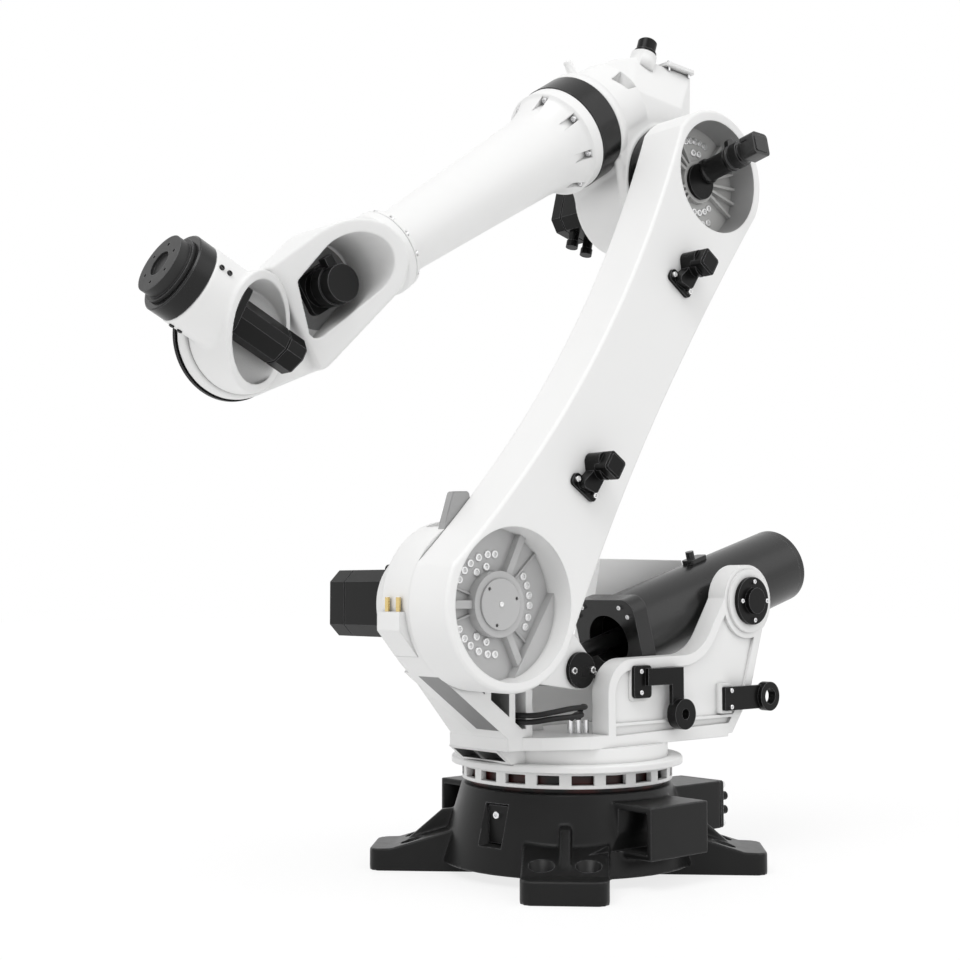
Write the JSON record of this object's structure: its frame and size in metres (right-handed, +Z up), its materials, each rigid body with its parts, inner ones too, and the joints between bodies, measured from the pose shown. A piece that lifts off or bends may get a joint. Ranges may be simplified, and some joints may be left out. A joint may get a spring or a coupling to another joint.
{
  "type": "industrial robot arm",
  "caption": "Heavy articulated robot arm: round bolted base, turning column, leaning link arm with a gas counterbalance, tapered forearm, open wrist housing and tool flange",
  "frame": {"origin": "on the floor, on the vertical first axis", "axes": "+X forward, +Y to the link arm's side, +Z up; the arm is in the picture's pose"},
  "size_m": [2.1294, 0.8704, 2.3263],
  "materials": {
    "white_paint": "satin",
    "black_paint": "satin",
    "motor_black": "satin",
    "barrel_black": "semi_gloss",
    "steel": "machined",
    "chrome": "polished",
    "brass": "machined",
    "hose_rubber": "matte"
  },
  "bodies": {
    "base": {"base_casting": "black_paint", "base_inspection_cover": "black_paint", "connector_panel": "black_paint", "connector_glands": "motor_black", "slew_bearing_outer": "steel", "axis1_gearbox": "steel", "axis1_motor": "motor_black", "base_screws": "chrome"},
    "column": {"slew_ring": "white_paint", "slew_bearing_inner": "steel", "column_casting": "white_paint", "axis2_gearbox": "steel", "axis2_motor": "motor_black", "hoist_lug": "white_paint", "levelling_bolts": "brass", "trunnion_caps": "black_paint", "trunnion_bushes": "brass", "hose_saddle": "black_paint", "hose_ring_bracket": "black_paint", "column_screws": "chrome", "deck_sleeves": "chrome", "deck_hoses": "hose_rubber"},
    "link_arm": {"link_arm_casting": "white_paint", "axis2_hub_cover": "white_paint", "link_arm_bolts": "chrome", "axis3_hub_cover": "black_paint", "hose_guide_tube": "black_paint", "hose_guide_clamp": "black_paint", "upper_hose_clamp": "black_paint", "lower_hose_clamp": "black_paint", "balancer_pin": "black_paint", "arm_small_screws": "chrome"},
    "balancer": {"balancer_barrel": "barrel_black", "balancer_front_cap": "barrel_black", "balancer_rear_cap": "barrel_black", "trunnion_pins": "steel", "balancer_valve": "barrel_black", "balancer_cap_screws": "chrome"},
    "balancer_piston_rod": {"balancer_rod": "chrome", "balancer_rod_end": "black_paint", "balancer_piston": "steel"},
    "elbow": {"elbow_casting": "white_paint", "axis3_gearbox": "black_paint", "axis3_motor": "motor_black", "axis3_motor_plugs": "motor_black", "elbow_cover": "white_paint", "elbow_cap": "black_paint", "elbow_screws": "chrome", "axis4_gearbox": "black_paint"},
    "forearm": {"forearm_tube": "white_paint", "wrist_housing": "white_paint", "forearm_bolts": "chrome", "axis5_motor": "motor_black", "axis5_cover": "black_paint"},
    "hand": {"hand_casting": "white_paint", "axis6_motor": "motor_black", "axis6_gearbox": "black_paint", "hand_screws": "black_paint"},
    "flange": {"tool_flange": "black_paint"}
  },
  "joints": [
    {"name": "axis1", "type": "hinge", "parent": "base", "child": "column", "pos_m": [0, 0, 0.28], "axis": [0, 0, 1], "range_deg": [-180, 185]},
    {"name": "axis2", "type": "hinge", "parent": "column", "child": "link_arm", "pos_m": [0.45, 0, 0.7], "axis": [0, 1, 0], "range_deg": [-17, 80]},
    {"name": "axis3", "type": "hinge", "parent": "link_arm", "child": "elbow", "pos_m": [-0.30705, 0, 1.86575], "axis": [0, 1, 0], "range_deg": [-200, 8]},
    {"name": "axis4", "type": "hinge", "parent": "elbow", "child": "forearm", "pos_m": [-0.1589, 0, 2.08788], "axis": [0.832, 0, -0.5548], "range_deg": [-350, 350]},
    {"name": "axis5", "type": "hinge", "parent": "forearm", "child": "hand", "pos_m": [0.98503, 0, 1.32497], "axis": [0, 1, 0], "range_deg": [-40, 159]},
    {"name": "axis6", "type": "hinge", "parent": "hand", "child": "flange", "pos_m": [0.98503, 0, 1.32497], "axis": [0.8988, 0, 0.4384], "range_deg": [-350, 350]},
    {"name": "balancer_swing", "type": "hinge", "parent": "column", "child": "balancer", "pos_m": [-0.469, 0, 0.704], "axis": [0, 1, 0], "range_deg": [-41, 9]},
    {"name": "rod_swing", "type": "hinge", "parent": "link_arm", "child": "balancer_piston_rod", "pos_m": [0.1289, 0, 0.5307], "axis": [0, 1, 0], "range_deg": [-121, 26]}
  ],
  "couplings": [
    {"joint": "balancer_swing", "follows": "axis2", "ratio": -0.5},
    {"joint": "rod_swing", "follows": "axis2", "ratio": -1.5}
  ]
}
